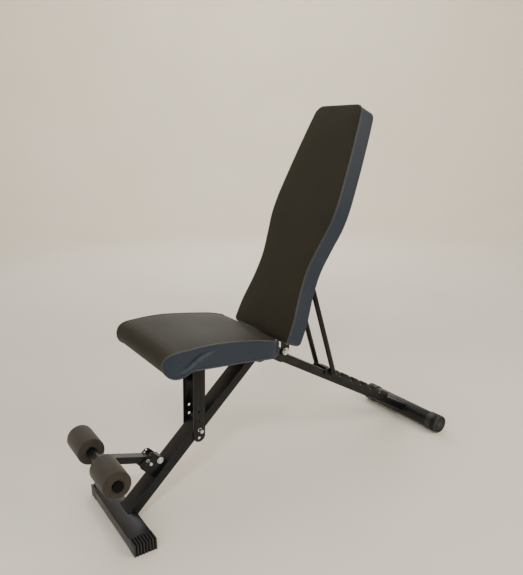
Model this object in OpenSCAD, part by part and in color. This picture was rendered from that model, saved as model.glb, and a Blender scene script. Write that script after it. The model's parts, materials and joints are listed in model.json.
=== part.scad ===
// Folding adjustable weight bench: inverted-V tube frame, ladder-rack backrest prop,
// height-adjustable seat and a leg-hold arm with two foam rollers.
// Millimetres, +Z up, +X towards the head end, origin on the floor under the middle.

/* [Frame tubes] */
// Width of both leg tubes across the bench
leg_w = 58; // [50:1:64]
// Depth of the front leg tube
front_leg_d = 28; // [24:1:34]
// Depth of the rear leg tube
rear_leg_d = 27; // [24:1:34]
// Wall thickness of the leg tubes
tube_wall = 2; // [1.5:0.1:3]
// Slope of the front leg from the floor
front_slope = 42.2; // [38:0.1:46]
// Slope of the rear leg from the floor
rear_slope = 30.7; // [26:0.1:34]

/* [Floor stabilizers] */
// Distance from the backrest bolt back to the rear stabilizer
rear_reach = 553; // [520:1:590]
// Radius of the round rear tube
rear_tube_r = 27.5; // [24:0.5:30]
// Radius of the ribbed rear end caps
rear_cap_r = 30; // [28:0.5:34]
// Length over the rear caps
rear_span = 343; // [320:1:400]
// Distance from the backrest bolt forward to the front edge of the front stabilizer
front_reach = 551; // [520:1:580]
// Width of the front stabilizer along the bench
front_tube_w = 60; // [50:1:70]
// Height of the front stabilizer
front_tube_h = 33; // [28:1:40]
// Length over the front caps
front_span = 327; // [300:1:380]

/* [Backrest] */
// Height of the backrest pivot bolt
back_pivot_z = 381; // [370:1:395]
// Length of the backrest pad
back_len = 695; // [660:1:740]
// Width across the bottom lobe
back_bottom_w = 276; // [250:1:300]
// Width at the waist
back_waist_w = 234; // [210:1:260]
// Width across the shoulders
back_shoulder_w = 290; // [260:1:310]
// Width at the head end
back_top_w = 214; // [190:1:240]
// Backrest angle from the floor
back_angle = 65; // [60:0.5:70]
// Thickness of the foam pad
back_pad_t = 43; // [38:1:50]

/* [Seat] */
// Length of the seat pad
seat_len = 344; // [320:1:370]
// Widest width of the seat pad
seat_w = 316; // [290:1:340]
// Seat tilt, front end up
seat_tilt = 5.9; // [0:0.1:12]
// Thickness of the foam pad
seat_pad_t = 46; // [40:1:52]
// Height of the rolled front edge
seat_nose_d = 74; // [60:1:80]
// Rise of the middle of the seat above its ends
seat_arch = 7; // [0:1:12]
// Thickness of the plywood boards
board_t = 8; // [6:1:12]

/* [Seat post] */
// Width of the channel post
post_w = 36; // [32:1:42]
// Pitch of the post holes
post_pitch = 25.7; // [22:0.1:30]

/* [Ladder rack] */
// Pitch of the notches along the leg
notch_pitch = 51.4; // [46:0.1:56]
// Number of notches
notch_count = 6; // [5:1:7]
// Width of a notch
notch_w = 11; // [10.6:0.1:13]
// Height of the teeth above the leg
tooth_h = 12.5; // [10:0.5:16]

/* [Leg hold] */
// Radius of the foam rollers
foam_r = 36.5; // [32:0.5:42]
// Length of one foam roller
foam_len = 102; // [90:1:140]
// Gap between the rollers
foam_gap = 88; // [60:1:110]

/* [Fits] */
// Radial clearance round every pivot
play = 0.3; // [0.2:0.05:0.5]
// Side clearance between moving plates
side_play = 0.4; // [0.3:0.05:0.8]
// Thickness of the frame plates
plate_t = 4; // [3:0.5:5]

/* [Hidden] */
$fn = 48;

// x positions are measured from the backrest bolt, then moved so the origin is mid-length
roller_x = -573;
roller_z = 200;
mid_x = (rear_reach + rear_cap_r + roller_x - foam_r) / 2;
fold = [-82, 398];
back_pivot = [0, back_pivot_z];
seat_pin_at = [-292, 212.6];
arm_pivot = [-407.5, 149.4];
arm_pin_reach = 37;
arm_hole_step = 14;

steel = [0.13, 0.14, 0.16];
zinc = [0.75, 0.76, 0.78];
plastic = [0.07, 0.07, 0.08];
vinyl = [0.10, 0.10, 0.10];
foam_col = [0.16, 0.14, 0.13];
ply = [0.55, 0.42, 0.28];

plate_in = leg_w / 2;
plate_out = plate_in + plate_t;
front_w = leg_w - 2 * side_play;
lug_in = plate_out + side_play;
lug_out = lug_in + plate_t;
bolt_r = 6;
pin_r = 4;
small_r = 5;

// rear leg: its own x runs down the leg from the fold bolt, its z stands off the top face
rear_axis_drop = 7.3;
rear_leg_start = 32;
rear_leg_len = 760;
front_axis_drop = 3.65;
front_leg_end = 14;
rack_start_u = 269;
notch_0_u = 292.4;
rack_below = 14;
bar_r = 5;

module placed() { translate([-mid_x, 0, 0]) children(); }
module at_rear_leg() {
    placed() translate([fold[0], 0, fold[1]]) rotate([0, rear_slope, 0])
        translate([0, 0, rear_axis_drop]) children();
}
module at_front_leg() {
    placed() translate([fold[0], 0, fold[1]]) rotate([0, -front_slope, 0])
        translate([0, 0, front_axis_drop]) children();
}
module at_fold() { placed() translate([fold[0], 0, fold[1]]) children(); }
module at_back_pivot() { placed() translate([back_pivot[0], 0, back_pivot[1]]) children(); }
module across(len, r, y0 = undef) {
    translate([0, is_undef(y0) ? len / 2 : y0 + len, 0]) rotate([90, 0, 0])
        cylinder(h = len, r = r);
}
// a plate standing along the bench: 2D outline in x and z, from y0 to y0 + t
module upright(y0, t) { translate([0, y0 + t, 0]) rotate([90, 0, 0]) linear_extrude(t) children(); }
module pair(y0, t) { upright(y0, t) children(); upright(-y0 - t, t) children(); }
module hexagon(r, h) { cylinder(h = h, r = r, $fn = 6); }

// bolt across the bench with its hexagon head on the near (-Y) side
module cross_bolt(r, half, head_r, head_h) {
    across(2 * half + 0.75 * head_h * 2 + head_h, r, -half);
    translate([0, -half, 0]) rotate([90, 0, 0]) hexagon(head_r, head_h);
}
module cross_nut(r, half, nut_r, nut_h) {
    difference() {
        translate([0, half + nut_h, 0]) rotate([90, 0, 0]) hexagon(nut_r, nut_h);
        across(4 * nut_h, r + 0.15, half - nut_h);
    }
}

// ---------- rear frame ----------
rear_tube_pos = [rear_reach, rear_cap_r];

module rear_leg() {
    color(steel) difference() {
        at_rear_leg() difference() {
            translate([rear_leg_start, -leg_w / 2, -rear_leg_d / 2])
                cube([rear_leg_len - rear_leg_start, leg_w, rear_leg_d]);
            translate([rear_leg_start - 1, -leg_w / 2 + tube_wall, -rear_leg_d / 2 + tube_wall])
                cube([rear_leg_len, leg_w - 2 * tube_wall, rear_leg_d - 2 * tube_wall]);
        }
        placed() translate([rear_tube_pos[0], 0, rear_tube_pos[1]]) across(leg_w + 20, rear_tube_r);
        placed() translate([rear_tube_pos[0], -leg_w, -60]) cube([200, 2 * leg_w, 200]);
        at_back_pivot() across(leg_w + 10, bolt_r + play);
    }
}

module rack_outline() {
    top = rear_leg_d / 2 + tooth_h;
    end_u = notch_0_u + (notch_count - 0.15) * notch_pitch;
    difference() {
        polygon([[rack_start_u, rear_leg_d / 2 - rack_below], [rack_start_u, rear_leg_d / 2 + 3],
            [rack_start_u + 12, top], [end_u - 4, top], [end_u, top - 4],
            [end_u, rear_leg_d / 2 - rack_below * 0.5], [end_u - 40, rear_leg_d / 2 - rack_below]]);
        for (i = [0 : notch_count - 1])
            translate([notch_0_u + i * notch_pitch - notch_w / 2, rear_leg_d / 2 + 0.3])
                square([notch_w, tooth_h + 10]);
    }
}
module rack_near() { color(steel) at_rear_leg() upright(-plate_out, plate_t) rack_outline(); }
module rack_far() { color(steel) at_rear_leg() upright(plate_in, plate_t) rack_outline(); }

cap_sleeve = 36;
module rear_tube() {
    len = rear_span - 12;
    color(steel) placed() translate([rear_tube_pos[0], 0, rear_tube_pos[1]])
        difference() { across(len, rear_tube_r); across(len + 2, rear_tube_r - tube_wall); }
}
module rear_cap() {
    end = rear_span / 2;
    face = end - 6;
    color(plastic) placed() translate([rear_tube_pos[0], 0, rear_tube_pos[1]])
        rotate([90, 0, 0]) rotate_extrude() difference() {
            polygon([[0, -face], [rear_tube_r, -face], [rear_tube_r, -face + cap_sleeve],
                [rear_cap_r - 1, -face + cap_sleeve], [rear_cap_r, -face + cap_sleeve - 1],
                [rear_cap_r, -end + 3], [rear_cap_r - 3, -end], [0, -end]]);
            for (i = [0 : 4])
                translate([rear_cap_r - 1.2, -face + 8 + i * 6]) square([2, 2.4]);
            translate([rear_cap_r - 9, -end - 1]) square([2.4, 2.2]);
            translate([0, -end - 1]) square([pin_r + 2.5, 3.5]);
        }
}
module rear_cap_far() { rear_cap(); }
module rear_cap_near() { mirror([0, 1, 0]) rear_cap(); }
module rear_cap_screws() {
    color(zinc) placed() for (s = [-1, 1])
        translate([rear_tube_pos[0], s * (rear_span / 2 - 1.5), rear_tube_pos[1]])
            difference() { across(2, pin_r); translate([0, s, 0]) cube([5, 1, 1.2], center = true); }
}

hinge_r = 33;
ear_r = 14;
rivet_at = [fold[0] + 14, fold[1] - 22];
module hinge_outline() {
    difference() {
        union() {
            hull() {
                translate([fold[0] + 4, fold[1] + 8]) circle(hinge_r / 2);
                translate([back_pivot[0] - 10, back_pivot[1] - 20]) circle(ear_r);
            }
            translate([fold[0], fold[1]]) circle(hinge_r);
            hull() {
                translate(back_pivot) circle(ear_r);
                translate([back_pivot[0] + 2, back_pivot[1] - 24]) circle(ear_r - 1);
            }
            hull() {
                translate([back_pivot[0] - 10, back_pivot[1] - 20]) circle(ear_r - 4);
                translate([back_pivot[0] + 46, back_pivot[1] - 48]) circle(ear_r - 5);
            }
        }
        translate([fold[0], fold[1]]) circle(bolt_r + play);
        translate(back_pivot) circle(bolt_r + play);
        translate(rivet_at) circle(pin_r);
    }
}
module hinge_plate_near() { color(steel) placed() upright(-plate_out, plate_t) hinge_outline(); }
module hinge_plate_far() { color(steel) placed() upright(plate_in, plate_t) hinge_outline(); }
module plate_rivets() {
    color(zinc) placed() translate([rivet_at[0], 0, rivet_at[1]]) for (s = [-1, 1])
        translate([0, s * (plate_in + plate_t / 2 + 1), 0]) across(plate_t + 2, pin_r);
}

fold_half = lug_out + 1.5;
fold_head_r = 10;
back_head_r = 9.5;
module fold_bolt() { color(zinc) at_fold() cross_bolt(bolt_r, fold_half, fold_head_r, 7); }
module fold_nut() { color(zinc) at_fold() cross_nut(bolt_r, fold_half, fold_head_r, 9); }
module back_bolt() { color(zinc) at_back_pivot() cross_bolt(bolt_r, fold_half, back_head_r, 6); }
module back_nut() { color(zinc) at_back_pivot() cross_nut(bolt_r, fold_half, back_head_r, 8); }

// ---------- front leg ----------
front_rear_edge = -front_reach + front_tube_w;
module front_leg() {
    color(steel) difference() {
        at_front_leg() difference() {
            translate([-700, -front_w / 2, -front_leg_d / 2])
                cube([700 + front_leg_end, front_w, front_leg_d]);
            translate([-701, -front_w / 2 + tube_wall, -front_leg_d / 2 + tube_wall])
                cube([720 + front_leg_end, front_w - 2 * tube_wall, front_leg_d - 2 * tube_wall]);
        }
        placed() {
            translate([-front_reach - 100, -leg_w, -200])
                cube([front_tube_w + 100, 2 * leg_w, 200 + front_tube_h]);
            translate([front_rear_edge - 1, -leg_w, -300]) cube([300, 2 * leg_w, 312]);
            translate([fold[0], 0, fold[1]]) across(leg_w + 10, bolt_r + play);
            translate([seat_pin_at[0], 0, seat_pin_at[1]]) across(leg_w + 10, pin_r + play);
        }
    }
}
front_cap_t = 36;
module front_tube() {
    color(steel) placed() difference() {
        translate([-front_reach, -front_span / 2 + front_cap_t, 0])
            cube([front_tube_w, front_span - 2 * front_cap_t, front_tube_h]);
        translate([-front_reach + tube_wall, -front_span / 2, tube_wall])
            cube([front_tube_w - 2 * tube_wall, front_span, front_tube_h - 2 * tube_wall]);
    }
}
front_cap_plug = 24;
front_cap_ribs = 7;
module front_cap() {
    rib = front_tube_w / (2 * front_cap_ribs + 1);
    groove = 2;
    face = front_span / 2;
    shoulder = face - front_cap_t;
    plug_in = tube_wall + 0.2;
    color(plastic) placed() translate([-front_reach, 0, 0]) difference() {
        union() {
            translate([0, shoulder, 0]) cube([front_tube_w, front_cap_t, front_tube_h]);
            translate([plug_in, shoulder - front_cap_plug, plug_in])
                cube([front_tube_w - 2 * plug_in, front_cap_plug + 1, front_tube_h - 2 * plug_in]);
        }
        for (i = [0 : front_cap_ribs - 1]) translate([rib * (2 * i + 1), 0, 0]) {
            translate([0, face - groove, -1]) cube([rib, 2 * groove, front_tube_h + 2]);
            translate([0, shoulder + 2, front_tube_h - groove]) cube([rib, front_cap_t, 2 * groove]);
        }
    }
}
module front_cap_far() { front_cap(); }
module front_cap_near() { mirror([0, 1, 0]) front_cap(); }

arm_w = 25;
arm_d = 19;
bracket_t = 3;
bracket_in = arm_w / 2 + side_play + 0.5;
bracket_out = bracket_in + bracket_t;
bracket_w = 53;
bracket_h = 59;
arm_pin_r = 3;
arm_holes = 3;
arm_angle = atan2(roller_z - arm_pivot[1], arm_pivot[0] - roller_x);
module at_arm_pivot() { placed() translate([arm_pivot[0], 0, arm_pivot[1]]) children(); }
// bracket outline stands on the leg's top face; u and v run along and off the leg
bracket_u = -455;
module arm_bracket() {
    color(steel) difference() {
        at_front_leg() translate([bracket_u, 0, front_leg_d / 2]) {
            pair(bracket_in, bracket_t) {
                square([bracket_w - 10, bracket_h - 12]);
                hull() {
                    translate([12, bracket_h - 12]) circle(12);
                    translate([bracket_w - 12, bracket_h - 12]) circle(12);
                    translate([bracket_w - 12, 18]) circle(12);
                    translate([1, 1]) square([20, 4]);
                    translate([bracket_w - 20, 1]) square([10, 4]);
                }
            }
            translate([0, -bracket_in, 0]) cube([bracket_w - 8, 2 * bracket_in, bracket_t]);
        }
        at_arm_pivot() {
            across(60, small_r + play);
            for (i = [0 : arm_holes - 1]) rotate([0, arm_angle + i * arm_hole_step, 0])
                translate([-arm_pin_reach, 0, 0]) across(60, arm_pin_r + play);
        }
    }
}
arm_half = bracket_out + 1;
module arm_bolt() { color(zinc) at_arm_pivot() cross_bolt(small_r, arm_half, 8, 5); }
module arm_nut() { color(zinc) at_arm_pivot() cross_nut(small_r, arm_half, 8, 7); }

// ---------- seat ----------
seat_rear = [-104.5, 477];
module at_seat() {
    placed() translate([seat_rear[0], 0, seat_rear[1]]) rotate([0, seat_tilt - 180, 0]) children();
}
nose_r = seat_nose_d / 2;
board_len = 250;
// closed outline from the points of its +y side, mirrored in the long axis
module mirrored_plan(side) {
    last = len(side) - 1;
    polygon(concat(side, [for (i = [last : -1 : 0]) [side[i][0], -side[i][1]]]));
}
module seat_plan(inset = 0) {
    w = seat_w / 2 - inset;
    front = seat_len - inset;
    mirrored_plan([[inset, w - 14], [inset + 12, w - 4], [100, w - 6], [200, w],
        [front - 24, w], [front - 6, w - 8], [front, w - 26]]);
}
// side outline: a flat cushion that ends in a round nose hanging below the board
module seat_profile() {
    polygon([[0, 10], [5, 6], [40, 0], [80, -seat_arch / 2], [140, -seat_arch], [210, -seat_arch],
        [seat_len - nose_r - 45, 0], [seat_len - nose_r, 0], [seat_len - nose_r, seat_nose_d - 4],
        [seat_len - nose_r - 34, seat_nose_d - 12], [board_len + 2, seat_pad_t + board_t],
        [board_len + 2, seat_pad_t], [0, seat_pad_t]]);
    translate([seat_len - nose_r, nose_r]) circle(nose_r);
}
module seat_pad() {
    color(vinyl) at_seat() intersection() {
        translate([0, 0, -2 * seat_arch]) linear_extrude(2 * seat_nose_d) seat_plan();
        upright(-seat_w, 2 * seat_w) seat_profile();
    }
}
module seat_board() {
    color(ply) at_seat() translate([0, 0, seat_pad_t]) linear_extrude(board_t) intersection() {
        seat_plan(10);
        translate([0, -seat_w / 2]) square([board_len, seat_w]);
    }
}
seat_under = seat_pad_t + board_t;
// fold bolt in the seat's own frame
seat_dx = seat_rear[0] - fold[0];
seat_dz = fold[1] - seat_rear[1];
fold_s = seat_dx * cos(seat_tilt) + seat_dz * sin(seat_tilt);
fold_t = seat_dx * sin(seat_tilt) - seat_dz * cos(seat_tilt);
seat_plate_x0 = 12;
seat_plate_x1 = 66;
module seat_bracket() {
    color(steel) at_seat() {
        translate([seat_plate_x0, -lug_out, seat_under])
            cube([seat_plate_x1 - seat_plate_x0, 2 * lug_out, 3]);
        pair(lug_in, plate_t) difference() {
            hull() {
                translate([fold_s, fold_t]) circle(15);
                translate([seat_plate_x0, seat_under + 3]) square([seat_plate_x1 - seat_plate_x0, 3]);
            }
            translate([fold_s, fold_t]) circle(bolt_r + play);
        }
    }
}
rail_w = 40;
rail_h = 18;
rail_start = seat_plate_x1 + 2;
rail_len = board_len - rail_start - 6;
module seat_rail() {
    color(steel) at_seat() difference() {
        translate([rail_start, -rail_w / 2, seat_under]) cube([rail_len, rail_w, rail_h]);
        translate([rail_start - 1, -rail_w / 2 + tube_wall, seat_under + tube_wall])
            cube([rail_len + 2, rail_w - 2 * tube_wall, rail_h - 2 * tube_wall]);
    }
}
// post pivot in the seat's own frame, below the rail
post_s = 171;
post_drop = seat_under + rail_h + 9;
post_in = leg_w / 2 + side_play;
post_t = 3;
post_top_w = post_in - side_play;
module post_lug() {
    color(steel) at_seat() difference() {
        union() {
            translate([post_s - 20, -post_top_w, seat_under + rail_h]) cube([40, 2 * post_top_w, 3]);
            pair(post_top_w - 4, 4) hull() {
                translate([post_s, post_drop]) circle(9);
                translate([post_s - 14, seat_under + rail_h + 1]) square([28, 2]);
            }
        }
        translate([post_s, 0, post_drop]) across(100, small_r + play);
    }
}
post_half = post_in + post_t + side_play;
module at_post_pivot() { at_seat() translate([post_s, 0, post_drop]) children(); }
module post_bolt() { color(zinc) at_post_pivot() cross_bolt(small_r, post_half, 8.5, 5.5); }
module post_nut() { color(zinc) at_post_pivot() cross_nut(small_r, post_half, 8.5, 7); }
module seat_screws() {
    color(zinc) at_seat() {
        for (s = [-1, 1]) translate([seat_plate_x0 + 8, s * 24, seat_under + 3]) cylinder(h = 4, r = 5);
        for (s = [-1, 1]) translate([seat_plate_x1 - 10, s * 24, seat_under + 3]) cylinder(h = 4, r = 5);
    }
}

// ---------- seat post ----------
post_len = 244;
post_below_pin = 37;
post_top = [seat_rear[0] - post_s * cos(seat_tilt) - post_drop * sin(seat_tilt),
    seat_rear[1] + post_s * sin(seat_tilt) - post_drop * cos(seat_tilt)];
post_run = norm(post_top - seat_pin_at);
post_lean = atan2(seat_pin_at[0] - post_top[0], post_top[1] - seat_pin_at[1]);
web_len = 66;
// the post's own x runs across the channel and z runs up from the pin
module at_post() {
    placed() translate([seat_pin_at[0], 0, seat_pin_at[1]]) rotate([0, -post_lean, 0]) children();
}
module seat_post() {
    color(steel) at_post() difference() {
        union() {
            pair(post_in, post_t) hull() {
                translate([0, -post_below_pin + post_w / 2]) circle(post_w / 2);
                translate([0, post_run]) circle(post_w / 2 - 4);
                translate([-post_w / 2, post_run - 20]) square([post_w, 4]);
            }
            translate([post_w / 2 - post_t, -post_in, post_run - 20 - web_len])
                cube([post_t, 2 * post_in, web_len]);
        }
        for (i = [-1 : 2]) translate([0, 0, i * post_pitch]) across(100, pin_r + play);
        translate([0, 0, post_run]) across(100, small_r + play);
    }
}

// pull pin: the shank is left open where the post's flanges pass, so the post can travel
pin_gap = 0.4;
collar_t = 2;
module gap_pin(r, wall_in, wall_out, knob_r, knob_len) {
    across(2 * (wall_in - pin_gap), r);
    translate([0, -wall_out - pin_gap, 0]) rotate([90, 0, 0]) {
        cylinder(h = collar_t, r = r + 2);
        translate([0, 0, collar_t]) cylinder(h = knob_len, r = r);
        translate([0, 0, collar_t + knob_len]) cylinder(h = 4, r = knob_r);
    }
    translate([0, wall_out + pin_gap, 0]) rotate([-90, 0, 0]) cylinder(h = 8, r1 = r, r2 = r - 1);
}
module seat_pin() {
    color(zinc) placed() translate([seat_pin_at[0], 0, seat_pin_at[1]])
        gap_pin(pin_r, post_in, post_in + post_t, 5.5, 10);
}

// ---------- backrest ----------
back_foot = [-66, 455.3];
module at_backrest() {
    placed() translate([back_foot[0], 0, back_foot[1]]) rotate([0, -back_angle, 0]) children();
}
back_lip = 5;
module back_plan(inset = 0) {
    b = back_bottom_w / 2 - inset;
    w = back_waist_w / 2 - inset;
    s = back_shoulder_w / 2 - inset;
    t = back_top_w / 2 - inset;
    end = back_len - inset;
    mirrored_plan([[inset - back_lip, b - 20], [inset + 11, b], [60, b - 3], [140, w + 3], [215, w],
        [280, w + 12], [335, s - 2], [375, s], [450, s - 7], [535, s - 15], [650, t + 4],
        [end - 14, t - 8], [end, t - 28]]);
}
module backrest_pad() {
    color(vinyl) at_backrest() translate([0, 0, -back_pad_t]) linear_extrude(back_pad_t) back_plan();
}
back_under = -back_pad_t - board_t;
module backrest_board() {
    color(ply) at_backrest() translate([0, 0, back_under]) linear_extrude(board_t) back_plan(10);
}
back_rail_h = 16;
back_rail_start = 94;
back_rail_len = 430;
module back_rail() {
    color(steel) at_backrest() translate([back_rail_start, 0, back_under - back_rail_h]) difference() {
        translate([0, -rail_w / 2, 0]) cube([back_rail_len, rail_w, back_rail_h]);
        translate([-1, -rail_w / 2 + tube_wall, tube_wall])
            cube([back_rail_len + 2, rail_w - 2 * tube_wall, back_rail_h - 2 * tube_wall]);
    }
}
// backrest bolt in the backrest's own frame
pivot_dx = back_pivot[0] - back_foot[0];
pivot_dz = back_pivot[1] - back_foot[1];
pivot_s = pivot_dx * cos(back_angle) + pivot_dz * sin(back_angle);
pivot_t = -pivot_dx * sin(back_angle) + pivot_dz * cos(back_angle);
ear_foot = [14, 88];
module back_ear(side) {
    color(steel) at_backrest() {
        upright(side > 0 ? lug_in : -lug_out, plate_t) difference() {
            hull() {
                translate([pivot_s, pivot_t]) circle(ear_r);
                translate([ear_foot[0], back_under - 3]) square([ear_foot[1] - ear_foot[0], 3]);
                translate([ear_foot[1] - 28, back_under - 10]) square([28, 3]);
            }
            translate([pivot_s, pivot_t]) circle(bolt_r + play);
        }
        translate([ear_foot[0], side > 0 ? lug_in - 24 : -lug_in, back_under - 3])
            cube([ear_foot[1] - ear_foot[0], 24, 3]);
    }
}
module back_ear_near() { back_ear(-1); }
module back_ear_far() { back_ear(1); }

prop_s = 193;
prop_z = -78;
prop_y = 42;
prop_r = 8;
sleeve_r = 9;
sleeve_half = prop_y + prop_r;
prop_lug_in = sleeve_half + side_play;
prop_lug_out = prop_lug_in + plate_t;
lug_foot = 44;
lug_flange = 18;
module prop_lugs() {
    color(steel) at_backrest() difference() {
        for (side = [-1, 1]) {
            upright(side > 0 ? prop_lug_in : -prop_lug_out, plate_t) hull() {
                translate([prop_s, prop_z]) circle(11);
                translate([prop_s - lug_foot / 2, back_under - 3]) square([lug_foot, 3]);
            }
            translate([prop_s - lug_foot / 2, side > 0 ? prop_lug_out : -prop_lug_out - lug_flange,
                back_under - 3]) cube([lug_foot, lug_flange, 3]);
        }
        translate([prop_s, 0, prop_z]) across(200, small_r + play);
    }
}
prop_half = prop_lug_out + 0.5;
module at_prop_pivot() { at_backrest() translate([prop_s, 0, prop_z]) children(); }
module prop_bolt() { color(zinc) at_prop_pivot() cross_bolt(small_r, prop_half, 8.5, 5.5); }
module prop_nut() { color(zinc) at_prop_pivot() cross_nut(small_r, prop_half, 8.5, 7); }
module back_screws() {
    color(zinc) at_backrest() translate([0, 0, back_under - 7]) {
        for (s = [-1, 1], x = [26, 74]) translate([x, s * 24, 0]) cylinder(h = 4, r = 5);
        for (s = [-1, 1]) translate([prop_s, s * (prop_lug_out + lug_flange / 2), 0])
            cylinder(h = 4, r = 5);
        for (x = [300, 480]) translate([x, 0, 3 - back_rail_h]) cylinder(h = 4, r = 5);
    }
}

// ---------- prop ----------
prop_top = [back_foot[0] + prop_s * cos(back_angle) - prop_z * sin(back_angle),
    back_foot[1] + prop_s * sin(back_angle) + prop_z * cos(back_angle)];
notch_v = rear_axis_drop + rear_leg_d / 2 + 0.3 + bar_r + 0.3;
prop_foot = [fold[0] + notch_0_u * cos(rear_slope) + notch_v * sin(rear_slope),
    fold[1] - notch_0_u * sin(rear_slope) + notch_v * cos(rear_slope)];
prop_len = norm(prop_foot - prop_top);
prop_lean = atan2(prop_foot[0] - prop_top[0], prop_top[1] - prop_foot[1]);
// the prop's own z runs up from the foot bar to the sleeve
module at_prop() {
    placed() translate([prop_foot[0], 0, prop_foot[1]]) rotate([0, -prop_lean, 0]) children();
}
module prop_arm(side) {
    color(steel) at_prop() difference() {
        translate([0, side * prop_y, -11]) cylinder(h = prop_len + 11, r = prop_r);
        translate([0, 0, prop_len]) across(200, sleeve_r);
        across(200, bar_r);
    }
}
module prop_arm_near() { prop_arm(-1); }
module prop_arm_far() { prop_arm(1); }
module prop_sleeve() {
    color(steel) at_prop() translate([0, 0, prop_len]) difference() {
        across(2 * sleeve_half, sleeve_r);
        across(2 * sleeve_half + 2, small_r + play);
    }
}
module prop_bar() { color(steel) at_prop() across(2 * (prop_y + prop_r + 1), bar_r); }

// ---------- leg hold ----------
tube_r = 12.5;
roller_tube_half = foam_gap / 2 + foam_len + 5;
arm_reach = norm([roller_x, roller_z] - arm_pivot);
module at_arm() { at_arm_pivot() rotate([0, arm_angle, 0]) children(); }
module roller_arm() {
    color(steel) at_arm() difference() {
        union() {
            translate([-arm_reach, -arm_w / 2, -arm_d / 2]) cube([arm_reach, arm_w, arm_d]);
            across(arm_w, arm_d / 2);
        }
        translate([-arm_reach - 1, -arm_w / 2 + tube_wall, -arm_d / 2 + tube_wall])
            cube([arm_reach - 22 - 26, arm_w - 2 * tube_wall, arm_d - 2 * tube_wall]);
        across(60, small_r + play);
        translate([-arm_pin_reach, 0, 0]) across(60, arm_pin_r + play);
        translate([-arm_reach, 0, 0]) across(60, tube_r);
    }
}
module at_roller() { placed() translate([roller_x, 0, roller_z]) children(); }
module roller_tube() {
    color(steel) at_roller() difference() {
        across(2 * roller_tube_half - 4, tube_r);
        across(2 * roller_tube_half, tube_r - 1.8);
    }
}
module tube_plugs() {
    color(plastic) at_roller() for (s = [-1, 1]) translate([0, s * (roller_tube_half - 2), 0]) {
        rotate([-90 * s, 0, 0]) cylinder(h = 5, r1 = tube_r + 1.5, r2 = tube_r);
        rotate([90 * s, 0, 0]) cylinder(h = 16, r = tube_r - 1.8);
    }
}
module foam(side) {
    half = foam_len / 2;
    rim = 3;
    color(foam_col) at_roller() translate([0, side * (foam_gap + foam_len) / 2, 0]) rotate([90, 0, 0])
        rotate_extrude() polygon([[tube_r + play, -half], [foam_r - rim, -half], [foam_r, -half + rim],
            [foam_r, half - rim], [foam_r - rim, half], [tube_r + play, half]]);
}
module roller_near() { foam(-1); }
module roller_far() { foam(1); }
module arm_pin() {
    color(zinc) at_arm() translate([-arm_pin_reach, 0, 0])
        gap_pin(arm_pin_r, bracket_in, bracket_out, 4.5, 17);
}

rear_leg();
rack_near();
rack_far();
rear_tube();
rear_cap_near();
rear_cap_far();
rear_cap_screws();
hinge_plate_near();
hinge_plate_far();
plate_rivets();
fold_bolt();
fold_nut();
back_bolt();
back_nut();
front_leg();
front_tube();
front_cap_near();
front_cap_far();
arm_bracket();
arm_bolt();
arm_nut();
seat_pad();
seat_board();
seat_bracket();
seat_rail();
post_lug();
post_bolt();
post_nut();
seat_screws();
seat_post();
seat_pin();
backrest_pad();
backrest_board();
back_rail();
back_ear_near();
back_ear_far();
prop_lugs();
prop_bolt();
prop_nut();
back_screws();
prop_arm_near();
prop_arm_far();
prop_sleeve();
prop_bar();
roller_arm();
roller_tube();
tube_plugs();
arm_pin();
roller_near();
roller_far();
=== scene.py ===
import json
import math

import bmesh
import bpy
from mathutils import Matrix, Vector


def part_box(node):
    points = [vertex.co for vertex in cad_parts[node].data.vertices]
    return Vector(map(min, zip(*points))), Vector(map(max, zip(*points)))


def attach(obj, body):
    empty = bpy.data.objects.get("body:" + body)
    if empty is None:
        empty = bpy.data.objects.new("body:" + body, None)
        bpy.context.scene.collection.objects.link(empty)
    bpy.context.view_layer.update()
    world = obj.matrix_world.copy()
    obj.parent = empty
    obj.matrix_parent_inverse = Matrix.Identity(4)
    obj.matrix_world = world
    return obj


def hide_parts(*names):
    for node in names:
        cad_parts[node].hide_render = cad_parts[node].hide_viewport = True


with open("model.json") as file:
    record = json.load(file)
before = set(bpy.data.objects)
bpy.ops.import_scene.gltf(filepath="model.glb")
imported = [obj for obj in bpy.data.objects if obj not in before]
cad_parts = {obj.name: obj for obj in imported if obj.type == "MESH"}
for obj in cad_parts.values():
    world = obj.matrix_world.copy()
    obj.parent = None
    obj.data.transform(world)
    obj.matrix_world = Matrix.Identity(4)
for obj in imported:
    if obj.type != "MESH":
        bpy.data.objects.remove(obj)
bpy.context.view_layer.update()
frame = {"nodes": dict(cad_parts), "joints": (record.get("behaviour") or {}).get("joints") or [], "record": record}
nodes = frame["nodes"]
joints = {joint["name"]: joint for joint in frame["joints"]}
bodyOf = {node: body for body, held in frame["record"]["behaviour"]["bodies"].items() for node in held}
print("frame loaded:", len(nodes), "nodes")

mm = 0.001
touching = 0.1 * mm


# small tools used by every piece

# the direction that leans so many degrees from level, towards the head (1) or the foot (-1)
def leanOf(degrees, towards, rise):
    turn = math.radians(degrees)
    return Vector((towards * math.cos(turn), 0, rise * math.sin(turn)))


def deselectAll():
    if bpy.context.object and bpy.context.object.mode != "OBJECT":
        bpy.ops.object.mode_set(mode="OBJECT")
    bpy.ops.object.select_all(action="DESELECT")


def makeActive(piece):
    deselectAll()
    piece.select_set(True)
    bpy.context.view_layer.objects.active = piece


def openMesh(piece):
    makeActive(piece)
    bpy.ops.object.mode_set(mode="EDIT")


def closeMesh():
    bpy.ops.object.mode_set(mode="OBJECT")


def applyPlace(piece):
    makeActive(piece)
    bpy.ops.object.transform_apply(location=True, rotation=True, scale=True)


def applyModifiers(piece):
    makeActive(piece)
    for modifier in list(piece.modifiers):
        bpy.ops.object.modifier_apply(modifier=modifier.name)


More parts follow.
